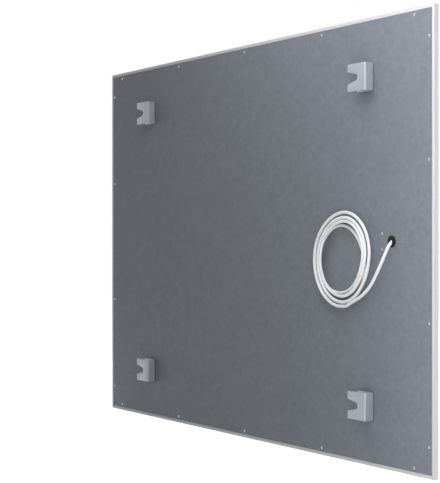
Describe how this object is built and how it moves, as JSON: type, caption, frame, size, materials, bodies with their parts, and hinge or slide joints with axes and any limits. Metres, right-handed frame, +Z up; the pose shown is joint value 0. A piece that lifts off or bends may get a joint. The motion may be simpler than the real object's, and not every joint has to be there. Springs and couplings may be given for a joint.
{
  "type": "infrared panel heater",
  "caption": "Slim wall-hung infrared panel heater: folded white tray, riveted galvanised back with notched brackets and a coiled mains lead.",
  "frame": {"origin": "in the wall plane, behind the middle of the panel's width and height", "axes": "+X along the width, to the right as seen from the front; +Y from the panel to the wall, so the front faces -Y; +Z up"},
  "size_m": [1.2, 0.0296, 0.8],
  "materials": {
    "white_powder_coat": "fine satin powder coat",
    "galvanised_sheet": "hot-dip galvanised, semi-gloss",
    "bracket_sheet": "zinc plated, satin",
    "rivet_aluminium": "bright",
    "zinc_steel": "zinc plated",
    "black_nylon": "moulded",
    "block_plastic": "moulded",
    "brass": "turned",
    "insulating_film": "smooth film",
    "carrier_film": "coated film",
    "track_metal": "rolled strip",
    "foil": "bright foil",
    "mineral_board": "pressed fibre",
    "cutout_case": "moulded",
    "brown_insulation": "extruded",
    "blue_insulation": "extruded",
    "green_yellow_insulation": "extruded",
    "white_sheath": "extruded PVC, glossy",
    "core_insulation": "extruded"
  },
  "bodies": {
    "root": {"front_tray": "white_powder_coat", "back_plate": "galvanised_sheet", "perimeter_rivets": "rivet_aluminium", "wall_bracket_top_left": "bracket_sheet", "wall_bracket_top_right": "bracket_sheet", "wall_bracket_bottom_left": "bracket_sheet", "wall_bracket_bottom_right": "bracket_sheet", "bracket_rivets": "rivet_aluminium", "terminal_rivets": "rivet_aluminium", "lead_bushing": "black_nylon", "bushing_lock_ring": "zinc_steel", "terminal_block": "block_plastic", "terminal_clamps": "brass", "terminal_screws": "zinc_steel", "front_film": "insulating_film", "heating_carrier": "carrier_film", "resistance_track": "track_metal", "track_terminals": "brass", "rear_film": "insulating_film", "reflector_foil": "foil", "insulation_board": "mineral_board", "thermal_cutout_upper": "cutout_case", "thermal_cutout_lower": "cutout_case", "cutout_tapes": "foil", "live_core": "brown_insulation", "earth_core": "green_yellow_insulation", "neutral_core": "blue_insulation", "live_wire": "brown_insulation", "neutral_wire": "blue_insulation", "live_link": "brown_insulation", "neutral_link": "blue_insulation", "earth_wire": "green_yellow_insulation", "earth_lug": "zinc_steel", "earth_stud": "zinc_steel", "earth_nut": "zinc_steel", "power_lead": "white_sheath", "power_lead_coil": "white_sheath", "lead_end_cores": "core_insulation", "lead_end_ferrules": "zinc_steel"}
  },
  "joints": []
}
